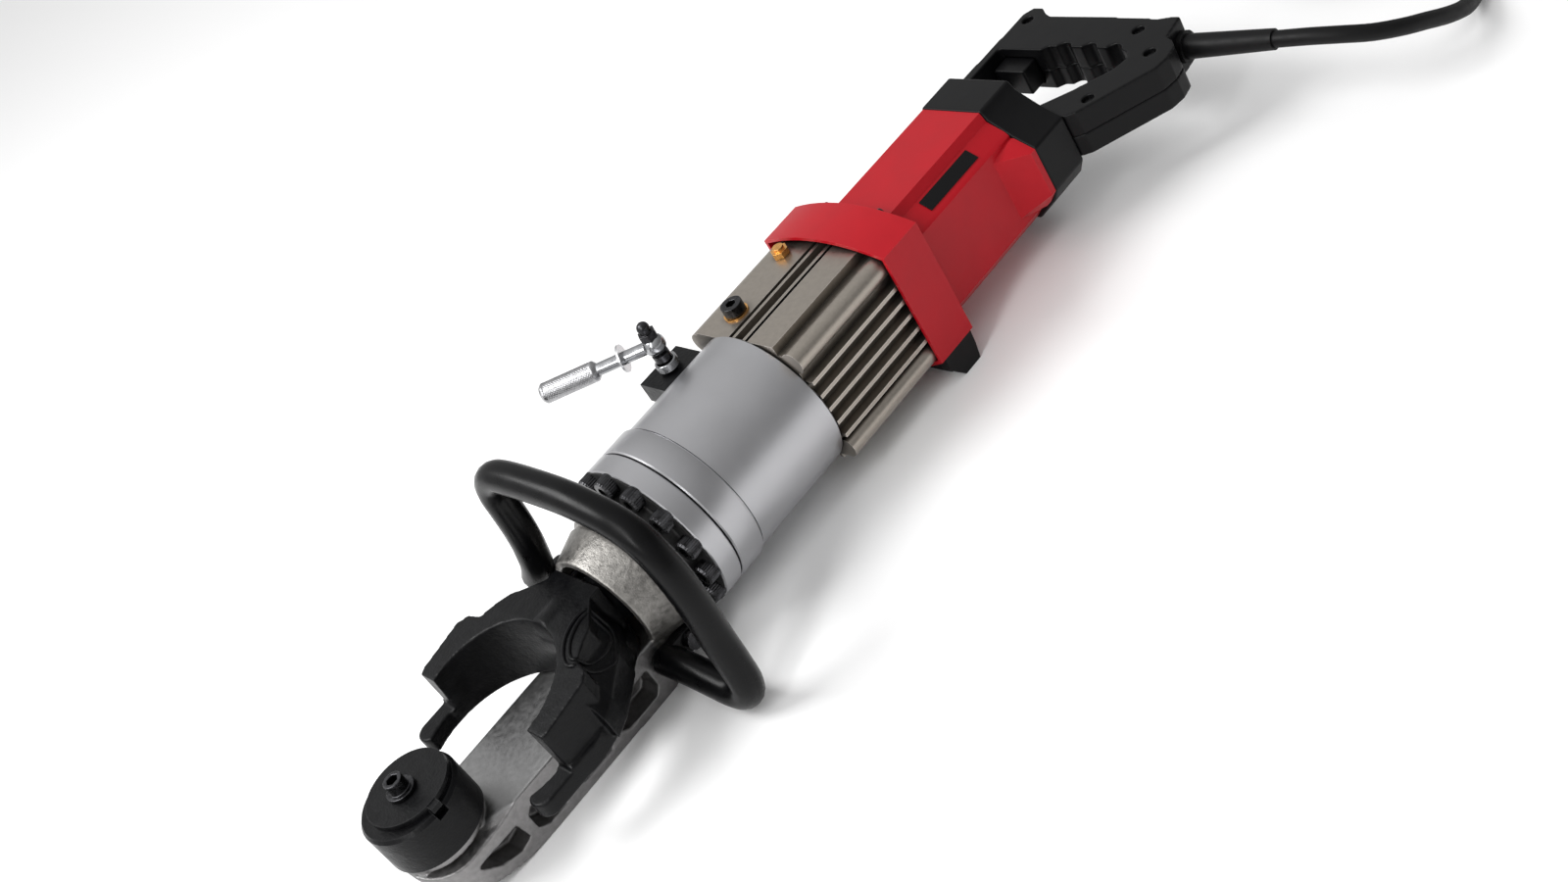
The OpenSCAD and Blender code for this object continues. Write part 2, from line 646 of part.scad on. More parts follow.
module stator() color("#6d5a48") place() difference() {
    xring(core_x - 2, core_x + core_len + 2, shell_bore - 0.05, stator_bore);
    for (a = [0, 180]) rotate([a, 0, 0]) box([core_x - 3, -9, stator_bore - 5], [core_x + core_len + 3, 9, stator_bore + 4]);
}
module armature() color("#a5754a") place() {
    xrod(gear_x + 7.5, rear_bearing_x + bearing_w, rotor_r);
    xrod(core_x, core_x + core_len, core_r);
    along_x(gear_x, gear_x + 7.5) polygon(tooth_ring(pinion_teeth, gear_module, 90 + 180 / pinion_teeth * 2));
}
module commutator() color("#b87333") place() xring(commutator_x, commutator_x + 14, commutator_r, rotor_r);
module cooling_fan() color("#333") place() {
    xring(fan_x, fan_x + 2, 31, rotor_r);
    xring(fan_x + 2, fan_x + 12, 8, rotor_r);
    for (i = [0:10]) rotate([360 * i / 11, 0, 0]) box([fan_x + 1.5, 7, -0.8], [fan_x + 10, 30, 0.8]);
}
module motor_bearings() color("#c5c7ca") place() {
    xring(front_bearing_x, front_bearing_x + bearing_w, motor_bearing_r, rotor_r + run_gap);
    xring(rear_bearing_x, rear_bearing_x + bearing_w, motor_bearing_r, rotor_r + run_gap);
}
module carbon_brushes() color("#2a2a2a") place() for (s = [-1, 1])
    box([commutator_x + 3, s > 0 ? commutator_r + 0.1 : -shell_bore + 1, -4],
        [commutator_x + 11, s > 0 ? shell_bore - 1 : -commutator_r - 0.1, 4]);

module end_cap() color("#232326") place() difference() {
    along_x(shell_end, cap_end) mirrored(cap_half);
    difference() {
        xrod(shell_end - 1, cap_end - 6, shell_bore);
        xrod(rear_bearing_x - 3, cap_end, motor_bearing_r + 4);
    }
    xrod(rear_bearing_x - 4, rear_bearing_x + bearing_w + 0.5, motor_bearing_r);
}

// ---------- handle ----------

function from_cap(p) = [for (q = p) [q[0] + cap_end, q[1]]];
module handle_outline() difference() {
    polygon(from_cap([
        [0, wall_out], [94, wall_out - 3], [100, 44], [100, 36], [95, 30], [92, 24], [92, -30], [91, -62], [93, -70],
        [93.5, -76.1], [74.5, -78.9], [72, -84], [66, -90], [56, -92], [46, -90], [4, -60], [0, -54]]));
    // finger opening
    polygon(from_cap([[6, wall_in], [59, wall_in], [59, 8], [63, 4], [63, -52], [60, -59], [54, -63], [44, -60],
        [22, -42], [6, -26]]));
    for (y = [-8, -28, -47]) translate([grip_front + 2, y]) circle(r = 6);
}
module grip_room() box([grip_front + 11, -50, -9], [grip_rear - 4, 36, 10]);
module handle_half(z0, z1) difference() {
    upright(z0, z1) handle_outline();
    grip_room();
    // slot for the trigger, cord outlet and screw holes
    box([grip_front - 5, trigger_y0 - 0.4, -9.4], [grip_front + 11.5, trigger_y1 + 0.4, 9.4]);
    translate([guard_x, guard_y, 0]) rotate([0, 0, guard_turn]) xrod(-20, 4, 5.85);
    for (p = handle_screw_at) zrod(p[0], p[1], -20, 20, 1.6);
    for (p = handle_screw_at) zrod(p[0], p[1], handle_top - 5, handle_top + 1, 3.8);
}
handle_screw_at = from_cap([[80, -54], [60, -76], [17, -60], [88, 40], [20, 47]]);
module handle_upper() color("#2a2b2d") place() handle_half(0, handle_top);
module handle_lower() color("#2a2b2d") place() handle_half(-handle_drop, 0);
module handle_screws() color("#151515") place() for (p = handle_screw_at) {
    zrod(p[0], p[1], handle_top - 5, handle_top - 2.4, 3.4);
    zrod(p[0], p[1], -8, handle_top - 5, 1.55);
}
module trigger() color("#121214") place() {
    box([trigger_x, trigger_y0, -9], [grip_front + 1.5, trigger_y1, 9]);
    box([grip_front + 1.4, trigger_y0 + 4, -5], [grip_front + 8.7, trigger_y1 - 6.5, 5]);
}
module switch_body() color("#3c3c40") place()
    box([grip_front + 9 + trigger_travel, trigger_y0 - 12, -8.9], [grip_rear - 4.1, trigger_y1 - 6, 9.9]);

module cord_guard() color("#17181a") place() translate([guard_x, guard_y, 0]) rotate([0, 0, guard_turn]) {
    xrod(-18, 2, 5.8);
    xrod(1.5, 5, 9.6);
    xcone(5, guard_len, 7.6, cord_r + 1.2);
}

// ---------- cord, coil and plug ----------

module power_cord() color("#1b1c1e") place() sweep(curve(CORD_ROUTE, 1), cord_r, 10, [0, 0, 1]);
module cord_coil() color("#1b1c1e") place() translate([coil_x, coil_y, floor_z]) rotate_extrude()
    translate([coil_in, 0]) square([coil_out - coil_in, coil_h]);
module cord_tail() color("#1b1c1e") place() sweep(TAIL_ROUTE, cord_r, 10, [0, 0, 1]);
module plug_body() color("#1b1c1e") place() translate([plug_x, plug_y, plug_z]) rotate([-90, 0, 0]) {
    rotate_extrude() polygon([[0, 0], [6.5, 0], [8, 14], [0, 14]]);
    translate([0, 0, 13.9]) rotate_extrude() polygon([[0, 0], [9, 0], [14.6, 8], [14.6, 24], [0, 24]]);
}
module plug_pins() color("silver") place() for (s = [-1, 1])
    yrod(plug_x + s * 7, plug_z, plug_y + 37.9, plug_y + 56, 2.2);

// ---------- foot ----------

foot_bar_z = -52;
module foot_holes(r) for (s = [-1, 1]) zrod(92, s * 30, foot_bar_z - 1, -41, r);
module rear_foot() color("#19191b") place() difference() {
    union() {
        for (s = [-1, 1]) translate([0, s > 0 ? 48.8 : -42, 0]) rotate([90, 0, 0]) linear_extrude(6.8)
            polygon([[79, -36], [104, -36], [103, -46], [101, floor_z], [87, floor_z], [79, -46]]);
        box([83, -43, foot_bar_z], [101, 43, -40]);
    }
    along_x(skirt_x - 10, skirt_end + 10) skirt_outline(0);
    foot_holes(2.55);
}
module foot_screws() color("#2d2d30") place() for (s = [-1, 1]) {
    zrod(92, s * 30, foot_bar_z, -41.2, 2.5);
    zrod(92, s * 30, foot_bar_z - 2.8, foot_bar_z, 5);
}

frame();
forming_sleeve();
roller_cap();
roller_screw();
bending_fork();
fork_screw();
piston_rod();
piston();
piston_seals();
return_spring();
rod_bush();
cylinder_barrel();
flange_screws();
bail_handle();
bail_screws();
valve_block();
valve_stem();
lever_hub();
lever_rod();
lever_grip();
lever_ring();
acorn_nut();
detent_spring();
pump_housing();
oil_plug();
oil_plug_washer();
bleed_plug();
pump_shaft();
pump_bearings();
pump_plungers();
plunger_barrels();
drive_gear();
gear_plate();
skirt();
skirt_screws();
motor_shell();
label_plate();
stator();
armature();
commutator();
cooling_fan();
motor_bearings();
carbon_brushes();
end_cap();
handle_upper();
handle_lower();
handle_screws();
trigger();
switch_body();
cord_guard();
power_cord();
cord_coil();
cord_tail();
plug_body();
plug_pins();
rear_foot();
foot_screws();
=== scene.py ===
import json
import math

import bmesh
import bpy
from mathutils import Euler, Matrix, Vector


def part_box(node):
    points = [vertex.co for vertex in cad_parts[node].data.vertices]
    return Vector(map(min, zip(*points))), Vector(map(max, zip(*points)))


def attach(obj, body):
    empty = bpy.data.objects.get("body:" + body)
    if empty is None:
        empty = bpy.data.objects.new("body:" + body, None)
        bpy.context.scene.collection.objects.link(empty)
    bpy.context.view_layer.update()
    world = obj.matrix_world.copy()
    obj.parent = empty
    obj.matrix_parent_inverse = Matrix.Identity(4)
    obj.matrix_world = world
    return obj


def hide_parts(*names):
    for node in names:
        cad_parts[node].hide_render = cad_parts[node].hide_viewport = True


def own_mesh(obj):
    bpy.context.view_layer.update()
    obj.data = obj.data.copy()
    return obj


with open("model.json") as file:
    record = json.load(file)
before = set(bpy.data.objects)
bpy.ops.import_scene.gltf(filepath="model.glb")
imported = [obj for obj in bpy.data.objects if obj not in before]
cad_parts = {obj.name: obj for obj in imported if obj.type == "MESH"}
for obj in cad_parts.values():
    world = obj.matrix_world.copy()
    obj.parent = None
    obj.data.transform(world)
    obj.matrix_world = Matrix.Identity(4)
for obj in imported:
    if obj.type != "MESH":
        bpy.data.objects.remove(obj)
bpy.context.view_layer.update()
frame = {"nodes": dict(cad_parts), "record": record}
NODES = frame["nodes"]
MM = 0.001

# The tool's own axis: x is 0 at the cylinder's rear face, in millimetres, as in the part's source
barrel_low, barrel_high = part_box("cylinder_barrel")
BASE_X = barrel_high[0] / MM
AXIS_H = (barrel_low[2] + barrel_high[2]) / 2 / MM


def tool(x, y, z):
    """A point on the tool, in millimetres from its axis, as metres in the shared frame."""
    return Vector(((x + BASE_X) * MM, y * MM, (z + AXIS_H) * MM))


# ---------------------------------------------------------------- camera

camera_data = bpy.data.cameras.new("camera")
camera_data.lens = 42.99
camera_data.sensor_width = 36
camera = bpy.data.objects.new("camera", camera_data)
camera.location = (-0.1920, -0.7829, 0.6290)
camera.rotation_euler = Euler((math.radians(50.49), math.radians(27.32), math.radians(-46.91)))
bpy.context.scene.collection.objects.link(camera)
bpy.context.scene.camera = camera


# ---------------------------------------------------------------- material graphs

class Finish:
    """A procedural material: a principled shader and short calls that add to its node graph."""

    def __init__(self, name, color, rough, metal=0.0):
        self.material = bpy.data.materials.new(name)
        self.material.use_nodes = True
        self.nodes = self.material.node_tree.nodes
        self.links = self.material.node_tree.links
        self.shader = self.nodes["Principled BSDF"]
        self.shader.inputs["Base Color"].default_value = (*color, 1)
        self.shader.inputs["Roughness"].default_value = rough
        self.shader.inputs["Metallic"].default_value = metal
        self.material.diffuse_color = (*color, 1)
        self.color = color
        self.rough = rough
        self.normal = None
        self.place = self.nodes.new("ShaderNodeTexCoord").outputs["Object"]

    def put(self, socket, source):
        self.links.new(source, self.shader.inputs[socket])

    def set(self, socket, value):
        self.shader.inputs[socket].default_value = value
        return self

    def stretched(self, x, y, z):
        mapping = self.nodes.new("ShaderNodeMapping")
        mapping.inputs["Scale"].default_value = (x, y, z)
        self.links.new(self.place, mapping.inputs["Vector"])
        return mapping.outputs["Vector"]

    def noise(self, size, detail=4, stretch=None):
        """Noise whose blotches are about size millimetres across."""
        texture = self.nodes.new("ShaderNodeTexNoise")
        texture.inputs["Scale"].default_value = 1 / (size * MM)
        texture.inputs["Detail"].default_value = detail
        self.links.new(self.stretched(*stretch) if stretch else self.place, texture.inputs["Vector"])
        return texture.outputs["Fac"]

    def cells(self, size):
        texture = self.nodes.new("ShaderNodeTexVoronoi")
        texture.inputs["Scale"].default_value = 1 / (size * MM)
        self.links.new(self.place, texture.inputs["Vector"])
        return texture.outputs["Distance"]

    def remap(self, source, low, high, to_low, to_high):
        node = self.nodes.new("ShaderNodeMapRange")
        for name, value in (("From Min", low), ("From Max", high), ("To Min", to_low), ("To Max", to_high)):
            node.inputs[name].default_value = value
        self.links.new(source, node.inputs["Value"])
        return node.outputs["Result"]

    def blend(self, amount, a, b):
        """Colour a where amount is 0, colour b where it is 1."""
        node = self.nodes.new("ShaderNodeMix")
        node.data_type = "RGBA"
        for socket, value in ((node.inputs[6], a), (node.inputs[7], b)):
            if isinstance(value, tuple):
                socket.default_value = (*value, 1)
            else:
                self.links.new(value, socket)
        self.links.new(amount, node.inputs[0])
        return node.outputs[2]

    def bump(self, height, depth, strength=1.0):
        """Adds relief: depth in millimetres."""
        node = self.nodes.new("ShaderNodeBump")
        node.inputs["Strength"].default_value = strength
        node.inputs["Distance"].default_value = depth * MM
        self.links.new(height, node.inputs["Height"])
        if self.normal:
            self.links.new(self.normal, node.inputs["Normal"])
        self.normal = node.outputs["Normal"]
        self.put("Normal", self.normal)
        return self

    def mottle(self, size, color_shift, rough_shift):
        """Uneven tone and polish at one scale."""
        source = self.noise(size, 6)
        dark = tuple(c * (1 - color_shift) for c in self.color)
        light = tuple(min(1, c * (1 + color_shift)) for c in self.color)
        self.put("Base Color", self.blend(self.remap(source, 0.3, 0.7, 0, 1), dark, light))
        low = max(0.02, self.rough - rough_shift)
        self.put("Roughness", self.remap(source, 0.3, 0.7, low, self.rough + rough_shift))
        return self

    def worn_and_highlit_edges(self, color, radius, amount=0.5):
        """Edges painted lighter, partly as rubbed finish and partly as painted highlight: found by
        comparing the rounded normal with the true one.
        """
        bevel = self.nodes.new("ShaderNodeBevel")
        bevel.inputs["Radius"].default_value = radius * MM
        geometry = self.nodes.new("ShaderNodeNewGeometry")
        dot = self.nodes.new("ShaderNodeVectorMath")
        dot.operation = "DOT_PRODUCT"
        self.links.new(bevel.outputs["Normal"], dot.inputs[0])
        self.links.new(geometry.outputs["Normal"], dot.inputs[1])
        edge = self.remap(dot.outputs["Value"], 0.97, 0.75, 0, amount)
        socket = self.shader.inputs["Base Color"]
        under = socket.links[0].from_socket if socket.links else self.color
        self.put("Base Color", self.blend(edge, under, color))
        return self

    def shaded_grooves(self, reach, color):
        """Painted shade where surfaces face each other closely: the base colour darkened by ambient
        occlusion.
        """
        cavity = self.nodes.new("ShaderNodeAmbientOcclusion")
        cavity.inputs["Distance"].default_value = reach * MM
        cavity.samples = 8
        depth = self.remap(cavity.outputs["AO"], 0.25, 0.85, 1, 0)
        socket = self.shader.inputs["Base Color"]
        under = socket.links[0].from_socket if socket.links else self.color
        self.put("Base Color", self.blend(depth, under, color))
        return self


def cast_grey():
    finish = Finish("cast_grey", (0.22, 0.215, 0.215), 0.40, 0.95)
    finish.mottle(3, 0.16, 0.08).bump(finish.noise(0.8, 3), 0.2, 0.6).bump(finish.noise(5, 2), 0.3, 0.5)
    return finish.worn_and_highlit_edges((0.75, 0.74, 0.72), 1.1, 0.6).material


def collar_grey():
    finish = Finish("collar_grey", (0.27, 0.26, 0.245), 0.42, 0.9)
    finish.mottle(3, 0.22, 0.1).bump(finish.noise(0.9, 4), 0.25, 0.7).bump(finish.noise(4, 2), 0.6, 0.5)
    return finish.material


def machined_plate():
    finish = Finish("machined_plate", (0.24, 0.24, 0.24), 0.38, 0.95)
    finish.mottle(3, 0.07, 0.06).bump(finish.noise(0.5, 2, (1, 12, 1)), 0.04, 0.6)
    return finish.worn_and_highlit_edges((0.75, 0.75, 0.74), 1.0, 0.7).material


def turned_steel():
    finish = Finish("turned_steel", (0.46, 0.46, 0.475), 0.34, 0.97)
    finish.mottle(25, 0.03, 0.02)
    return finish.worn_and_highlit_edges((0.8, 0.8, 0.8), 0.6, 0.6).material


# Near-black for the frame's neck between collar and flange: painted shade between the parts
def neck_shade():
    finish = Finish("neck_shade", (0.03, 0.03, 0.03), 0.46, 0.5)
    return finish.mottle(5, 0.3, 0.08).bump(finish.noise(1.2, 3), 0.3, 0.6).material


def black_forging():
    finish = Finish("black_forging", (0.0022, 0.0023, 0.0028), 0.36)
    finish.mottle(7, 0.3, 0.07).bump(finish.noise(1.3, 4), 0.3, 0.6).bump(finish.noise(6, 3), 0.8, 0.4)
    finish.set("Specular IOR Level", 0.16)
    return finish.worn_and_highlit_edges((0.035, 0.035, 0.037), 1.2, 0.6).material


def black_coat():
    finish = Finish("black_coat", (0.0015, 0.0015, 0.0018), 0.3)
    finish.mottle(10, 0.2, 0.05).bump(finish.noise(1.6, 2), 0.05, 0.5)
    return finish.set("Specular IOR Level", 0.17).material


def dark_steel():
    finish = Finish("dark_steel", (0.05, 0.05, 0.053), 0.3, 1.0)
    finish.mottle(2.5, 0.35, 0.1).bump(finish.noise(0.5, 2), 0.05, 0.5)
    return finish.worn_and_highlit_edges((0.2, 0.2, 0.21), 0.4, 0.6).material


def zinc():
    finish = Finish("zinc", (0.36, 0.365, 0.375), 0.2, 1.0)
    return finish.mottle(5, 0.08, 0.06).material


def steel():
    finish = Finish("plain_steel", (0.55, 0.55, 0.56), 0.28, 1.0)
    return finish.mottle(4, 0.12, 0.06).material


def fin_metal():
    finish = Finish("fin_metal", (0.36, 0.325, 0.285), 0.34, 0.92)
    finish.mottle(2, 0.06, 0.05).bump(finish.noise(0.6, 2, (0.05, 1, 1)), 0.05, 0.7)
    # Painted highlight on the fins' edges and tops, and painted shade between the fins
    finish.worn_and_highlit_edges((0.88, 0.84, 0.79), 0.8, 0.75)
    return finish.shaded_grooves(7, (0.03, 0.027, 0.024)).material


def red_paint():
    finish = Finish("red_paint", (0.40, 0.004, 0.011), 0.36)
    finish.mottle(18, 0.05, 0.03).bump(finish.noise(0.9, 2), 0.02, 0.5)
    finish.set("Specular IOR Level", 0.22)
    # The edges are painted a lighter red: painted highlight
    return finish.worn_and_highlit_edges((0.6, 0.03, 0.04), 0.8, 0.5).material


def black_plastic():
    finish = Finish("black_plastic", (0.0025, 0.0025, 0.0029), 0.36)
    finish.mottle(12, 0.15, 0.04).bump(finish.cells(0.7), 0.03, 0.6)
    finish.set("Specular IOR Level", 0.17)
    return finish.worn_and_highlit_edges((0.03, 0.03, 0.032), 0.8, 0.4).material


def label_black():
    finish = Finish("label_black", (0.002, 0.002, 0.0025), 0.25)
    return finish.mottle(8, 0.1, 0.04).set("Specular IOR Level", 0.2).material


def rubber():
    finish = Finish("rubber", (0.003, 0.003, 0.0033), 0.5)
    finish.set("Specular IOR Level", 0.2)
    return finish.mottle(6, 0.2, 0.06).bump(finish.noise(0.8, 2), 0.03, 0.5).material


def brass():
    finish = Finish("brass_metal", (0.80, 0.42, 0.13), 0.27, 1.0)
    return finish.mottle(3, 0.15, 0.08).worn_and_highlit_edges((0.95, 0.7, 0.4), 0.4, 0.5).material


def copper():
    finish = Finish("copper_winding", (0.60, 0.26, 0.13), 0.35, 1.0)
    return finish.mottle(2, 0.2, 0.08).bump(finish.noise(0.8, 1, (0.1, 1, 1)), 0.2).material


def knurled():
    """Bright metal of the knurled grip, with painted shade between its ridges."""
    finish = Finish("knurled", (0.40, 0.40, 0.41), 0.28, 1.0)
    return finish.mottle(4, 0.1, 0.06).shaded_grooves(0.8, (0.12, 0.12, 0.12)).material


CAST = cast_grey()
COLLAR = collar_grey()
PLATE = machined_plate()
TURNED = turned_steel()
NECK_SHADE = neck_shade()
FORGING = black_forging()
COAT = black_coat()
DARK = dark_steel()
ZINC = zinc()
STEEL = steel()
FIN = fin_metal()
RED = red_paint()
PLASTIC = black_plastic()
LABEL = label_black()
RUBBER = rubber()
BRASS = brass()
COPPER = copper()
KNURL = knurled()

NODE_FINISH = {
    "frame": CAST, "forming_sleeve": FORGING, "roller_cap": FORGING, "roller_screw": DARK,
    "bending_fork": FORGING, "fork_screw": DARK, "piston_rod": ZINC, "piston": STEEL,
    "piston_seals": RUBBER, "return_spring": STEEL, "rod_bush": BRASS, "cylinder_barrel": TURNED,
    "flange_screws": DARK, "bail_handle": COAT, "bail_screws": DARK, "valve_block": FORGING,
    "valve_stem": DARK, "lever_hub": ZINC, "lever_rod": ZINC, "lever_grip": KNURL,
    "lever_ring": STEEL, "acorn_nut": DARK, "detent_spring": ZINC, "pump_housing": FIN,
    "oil_plug": DARK, "oil_plug_washer": BRASS, "bleed_plug": BRASS, "pump_shaft": STEEL,
    "pump_bearings": STEEL, "pump_plungers": ZINC, "plunger_barrels": STEEL, "drive_gear": STEEL,
    "gear_plate": STEEL, "skirt": RED, "skirt_screws": DARK, "motor_shell": RED,
    "label_plate": LABEL, "stator": COPPER, "armature": COPPER, "commutator": COPPER,
    "cooling_fan": PLASTIC, "motor_bearings": STEEL, "carbon_brushes": DARK, "end_cap": PLASTIC,
    "handle_upper": PLASTIC, "handle_lower": PLASTIC, "handle_screws": DARK, "trigger": PLASTIC,
    "switch_body": PLASTIC, "cord_guard": RUBBER, "power_cord": RUBBER, "cord_coil": RUBBER,
    "cord_tail": RUBBER, "plug_body": RUBBER, "plug_pins": ZINC, "rear_foot": PLASTIC,
    "foot_screws": DARK,
}
BODY_OF = {n: body for body, names in frame["record"]["behaviour"]["bodies"].items() for n in names}
SLOT_OF = {entry["node"]: entry["material_slot"] for entry in frame["record"]["subparts"]}


def paint(piece, *materials):
    piece.data.materials.clear()
    for material in materials:
        piece.data.materials.append(material)


for name, node in NODES.items():
    paint(node, NODE_FINISH[name])


# ---------------------------------------------------------------- mesh helpers

def add(name, data, body, slot_name, *materials):
    """A new piece, painted, that rides on a body."""
    piece = bpy.data.objects.new(name, data)
    bpy.context.scene.collection.objects.link(piece)
    paint(piece, *materials)
    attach(piece, body)
    return piece


def stand_for(piece, *nodes):
    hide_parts(*nodes)
    return piece


def clean_copy(node):
    """A CAD node's solid as a mesh of whole flat faces, free of its triangles."""
    mesh = NODES[node].data.copy()
    work = bmesh.new()
    work.from_mesh(mesh)
    bmesh.ops.remove_doubles(work, verts=work.verts, dist=2e-6)
    bmesh.ops.dissolve_limit(work, angle_limit=math.radians(0.6), verts=work.verts, edges=work.edges)
    fresh = bpy.data.meshes.new(node + "_clean")
    work.to_mesh(fresh)
    work.free()
    return fresh


def smooth_shade(mesh, angle=40):
    """Smooth faces with hard edges kept where faces meet at more than angle."""
    work = bmesh.new()
    work.from_mesh(mesh)
    for face in work.faces:
        face.smooth = True
    for edge in work.edges:
        edge.smooth = len(edge.link_faces) == 2 and edge.calc_face_angle(0) < math.radians(angle)
    work.to_mesh(mesh)
    work.free()


def eased(node, width, segments=3, materials=None):
    """A node's own shape with its edges rounded by a real radius, in millimetres."""
    mesh = clean_copy(node)
    piece = add(node + "_eased", mesh, BODY_OF[node], SLOT_OF[node], *(materials or [NODE_FINISH[node]]))
    for face in mesh.polygons:
        face.use_smooth = True
    bevel = piece.modifiers.new("edges", "BEVEL")
    bevel.width = width * MM
    bevel.segments = segments
    bevel.limit_method = "ANGLE"
    bevel.angle_limit = math.radians(32)
    bevel.use_clamp_overlap = True
    weights = piece.modifiers.new("shading", "WEIGHTED_NORMAL")
    weights.keep_sharp = False
    return stand_for(piece, node)


def baked(piece):
    """Applies a piece's modifiers to its mesh."""
    graph = bpy.context.evaluated_depsgraph_get()
    graph.update()
    mesh = bpy.data.meshes.new_from_object(piece.evaluated_get(graph))
    old = piece.data
    materials = list(old.materials)
    piece.modifiers.clear()
    piece.data = mesh
    paint(piece, *materials)
    return piece


def casting(node, extras=(), cuts=(), voxel=1.2, rounds=6, materials=None):
    """A rough casting: the node's solid with solids added and cut, remeshed and its edges softened."""
    mesh = clean_copy(node)
    piece = add(node + "_cast", mesh, BODY_OF[node], SLOT_OF[node], *(materials or [NODE_FINISH[node]]))
    for tool_piece, operation in [(e, "UNION") for e in extras] + [(c, "DIFFERENCE") for c in cuts]:
        cut = piece.modifiers.new("shape", "BOOLEAN")
        cut.operation = operation
        cut.solver = "EXACT"
        cut.object = tool_piece
    remesh = piece.modifiers.new("skin", "REMESH")
    remesh.mode = "VOXEL"
    remesh.voxel_size = voxel * MM
    soften = piece.modifiers.new("soften", "SMOOTH")
    soften.factor = 0.5
    soften.iterations = rounds
    baked(piece)
    for tool_piece in list(extras) + list(cuts):
        bpy.data.objects.remove(tool_piece)
    for face in piece.data.polygons:
        face.use_smooth = True
    return stand_for(piece, node)


def mesh_from(work, name):
    """The finished mesh of a bmesh, its normals outwards."""
    bmesh.ops.recalc_face_normals(work, faces=work.faces)
    mesh = bpy.data.meshes.new(name)
    work.to_mesh(mesh)
    work.free()
    return mesh


def scratch(work):
    """A helper object for casting(), which takes it up."""
    piece = bpy.data.objects.new("scratch", mesh_from(work, "scratch"))
    bpy.context.scene.collection.objects.link(piece)
    return piece


def skin(work, rings, closed=False):
    """Faces between closed rings of points, in metres, each to the next; returns the rings' vertices."""
    made = [[work.verts.new(p) for p in ring] for ring in rings]
    for a, b in zip(made, made[1:] + made[:1] if closed else made[1:]):
        for i in range(len(a)):
            j = (i + 1) % len(a)
            work.faces.new((a[i], a[j], b[j], b[i]))
    return made


def ellipse(first, second, degrees):
    """A point on an ellipse, from its two radii and an angle."""
    return first * math.cos(math.radians(degrees)), second * math.sin(math.radians(degrees))


def polar(radius, degrees):
    return ellipse(radius, radius, degrees)


def block(points, x_axis, y_axis, start, depth):
    """A scratch solid for casting(): an outline in two axes drawn out along the third."""
    work = bmesh.new()
    across = [Vector(x_axis), Vector(y_axis)]
    out = across[0].cross(across[1])
    ring = [work.verts.new(tool(*(a * across[0] + b * across[1] + start * out))) for a, b in points]
    bottom = work.faces.new(ring)
    made = bmesh.ops.extrude_face_region(work, geom=[bottom])
    moved = [g for g in made["geom"] if isinstance(g, bmesh.types.BMVert)]
    bmesh.ops.translate(work, verts=moved, vec=out * depth * MM)
    return scratch(work)


def loft(rings):
    """A scratch solid for casting(): closed rings of points, in tool millimetres, skinned in turn."""
    work = bmesh.new()
    made = skin(work, [[tool(*p) for p in ring] for ring in rings])
    work.faces.new(made[0])
    work.faces.new(made[-1])
    return scratch(work)


def repaint(piece, index, test):
    """Gives a material slot to the faces whose centre, in tool millimetres, and normal pass a test."""
    origin = tool(0, 0, 0)
    for face in piece.data.polygons:
        if test((face.center - origin) / MM, face.normal):
            face.material_index = index


def tube(name, points, radius, body, slot_name, material, cyclic=False, resolution=6):
    """A smooth round tube through points, in metres."""
    curve = bpy.data.curves.new(name, "CURVE")
    curve.dimensions = "3D"
    curve.bevel_depth = radius
    curve.bevel_resolution = resolution
    curve.resolution_u = 6
    curve.use_fill_caps = True
    spline = curve.splines.new("NURBS")
    spline.points.add(len(points) - 1)
    for point, place in zip(spline.points, points):
        point.co = (*place, 1)
    spline.order_u = 4
    spline.use_endpoint_u = not cyclic
    spline.use_cyclic_u = cyclic
    return add(name, curve, body, slot_name, material)


def catmull(points, steps):
    """Points on the smooth curve that passes through the given ones."""
    out = []
    count = len(points)
    for i in range(count - 1):
        a, b = points[max(i - 1, 0)], points[i]
        c, d = points[i + 1], points[min(i + 2, count - 1)]
        for k in range(steps):
            t = k / steps
            out.append(0.5 * (2 * b + (c - a) * t + (2 * a - 5 * b + 4 * c - d) * t * t
                              + (3 * b - a - 3 * c + d) * t ** 3))
    out.append(points[-1])
    return out


# ---------------------------------------------------------------- mains lead

CORD_RADIUS = 5
CORD_ROUTE = [
    (323, -136, 0), (326, -156, 0), (332, -172, -3), (342, -185, -9), (356, -194, -16),
    (372, -198, -24), (389, -200, -33), (406, -199, -41), (423, -194, -47), (441, -186, -50),
    (459, -177, -51), (476, -167, -51), (492, -158, -51), (507, -149, -51), (522, -141, -51),
    (537, -132, -51),
]
TAIL_ROUTE = [
    (567, -80, -31), (567, -66, -32), (567, -52, -35), (567, -38, -39), (567, -24, -41), (567, -10, -41),
]
COIL_CENTRE = (507, -80)
# Where the winding changes ring or layer: angle, radius, height
COIL_STEPS = [
    (-60, 60, -51), (230, 60, -51), (290, 50, -51), (530, 50, -51), (590, 50, -41),
    (830, 50, -41), (890, 60, -41), (1130, 60, -41), (1190, 60, -31), (1440, 60, -31),
]


def coil_points(step=15):
    """The winding: rings side by side in layers, from the route's end to the tail's start."""
    points = []
    for (a0, r0, z0), (a1, r1, z1) in zip(COIL_STEPS, COIL_STEPS[1:]):
        count = max(1, round((a1 - a0) / step))
        for k in range(count):
            t = k / count
            ease = t * t * (3 - 2 * t)
            angle = math.radians(a0 + (a1 - a0) * t)
            radius = r0 + (r1 - r0) * ease
            points.append((COIL_CENTRE[0] + radius * math.cos(angle),
                           COIL_CENTRE[1] + radius * math.sin(angle), z0 + (z1 - z0) * ease))
    return points


